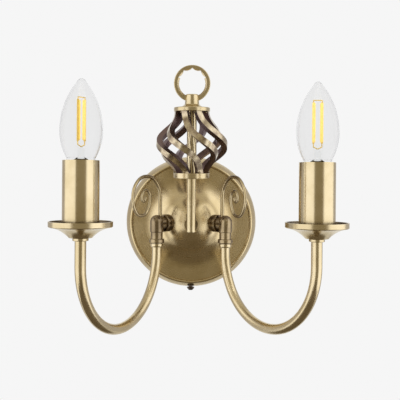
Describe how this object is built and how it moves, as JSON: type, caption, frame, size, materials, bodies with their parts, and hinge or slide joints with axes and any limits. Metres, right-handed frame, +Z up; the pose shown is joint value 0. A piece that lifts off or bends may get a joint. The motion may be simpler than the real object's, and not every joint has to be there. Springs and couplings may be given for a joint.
{
  "type": "double arm wall sconce",
  "caption": "Wall light with a round canopy, two swivelling swan-neck arms, candle lamps, side scrolls and a twisted cage finial.",
  "frame": {"origin": "centre of the canopy on the wall plane, midway between the two wall screws", "axes": "+Z up, +Y into the wall, the light stands out towards -Y, +X to the viewer's right"},
  "size_m": [0.2443, 0.1753, 0.2466],
  "materials": {
    "antique_brass": "brushed antique lacquer",
    "dark_brass": "antique patina left in the recesses",
    "zinc_steel": "zinc plated",
    "dark_steel": "bronzed screw",
    "terminal_brass": "plain bright",
    "nickel": "nickel plated",
    "grommet_rubber": "moulded",
    "block_plastic": "moulded",
    "holder_plastic": "moulded",
    "wire_sheath": "clear sheath over flex",
    "bulb_glass": "clear",
    "stem_glass": "clear",
    "filament_yellow": "phosphor coating"
  },
  "bodies": {
    "fitting": {"wall_strap": "zinc_steel", "strap_lugs": "zinc_steel", "cable_grommet": "grommet_rubber", "terminal_block": "block_plastic", "terminal_screws": "terminal_brass", "block_screw": "zinc_steel", "earth_screw": "terminal_brass", "canopy": "antique_brass", "elbow_nipples": "zinc_steel", "elbow_washers": "zinc_steel", "elbow_nuts": "zinc_steel", "rod_boss": "dark_brass", "boss_washer": "zinc_steel", "boss_screw": "zinc_steel", "centre_rod": "antique_brass", "cage_base": "antique_brass", "cage_bars": "dark_brass", "cage_cap": "antique_brass", "ring_finial": "antique_brass", "left_elbow": "dark_brass", "left_scroll": "antique_brass", "left_canopy_wire": "wire_sheath", "right_elbow": "dark_brass", "right_scroll": "antique_brass", "right_canopy_wire": "wire_sheath"},
    "left_arm": {"left_arm_tube": "antique_brass", "left_arm_ferrule": "antique_brass", "left_swivel_nipple": "zinc_steel", "left_swivel_ring": "zinc_steel", "left_arm_wire": "wire_sheath", "left_drip_pan": "antique_brass", "left_pan_nut": "antique_brass", "left_pan_locknut": "zinc_steel", "left_candle_sleeve": "antique_brass", "left_lampholder": "holder_plastic", "left_holder_shell": "nickel", "left_holder_contact": "terminal_brass"},
    "right_arm": {"right_arm_tube": "antique_brass", "right_arm_ferrule": "antique_brass", "right_swivel_nipple": "zinc_steel", "right_swivel_ring": "zinc_steel", "right_arm_wire": "wire_sheath", "right_drip_pan": "antique_brass", "right_pan_nut": "antique_brass", "right_pan_locknut": "zinc_steel", "right_candle_sleeve": "antique_brass", "right_lampholder": "holder_plastic", "right_holder_shell": "nickel", "right_holder_contact": "terminal_brass"},
    "left_bulb": {"left_bulb_glass": "bulb_glass", "left_bulb_cap": "nickel", "left_bulb_stem": "stem_glass", "left_bulb_filament": "filament_yellow"},
    "right_bulb": {"right_bulb_glass": "bulb_glass", "right_bulb_cap": "nickel", "right_bulb_stem": "stem_glass", "right_bulb_filament": "filament_yellow"},
    "top_lock_screw": {"lock_screw_top": "dark_steel"},
    "bottom_lock_screw": {"lock_screw_bottom": "dark_steel"}
  },
  "joints": [
    {"name": "left_arm_swivel", "type": "hinge", "parent": "fitting", "child": "left_arm", "pos_m": [-0.03359, -0.03797, -0.019], "axis": [0, 0, 1], "range_deg": [-48.5, 26.5]},
    {"name": "right_arm_swivel", "type": "hinge", "parent": "fitting", "child": "right_arm", "pos_m": [0.03359, -0.03797, -0.019], "axis": [0, 0, 1], "range_deg": [-34, 41]},
    {"name": "left_bulb_unscrew", "type": "slide", "parent": "left_arm", "child": "left_bulb", "axis": [0, 0, 1], "range_m": [0, 0.03]},
    {"name": "right_bulb_unscrew", "type": "slide", "parent": "right_arm", "child": "right_bulb", "axis": [0, 0, 1], "range_m": [0, 0.03]},
    {"name": "top_lock_unscrew", "type": "slide", "parent": "fitting", "child": "top_lock_screw", "axis": [0, 0, 1], "range_m": [0, 0.006]},
    {"name": "bottom_lock_unscrew", "type": "slide", "parent": "fitting", "child": "bottom_lock_screw", "axis": [0, 0, -1], "range_m": [0, 0.006]}
  ]
}
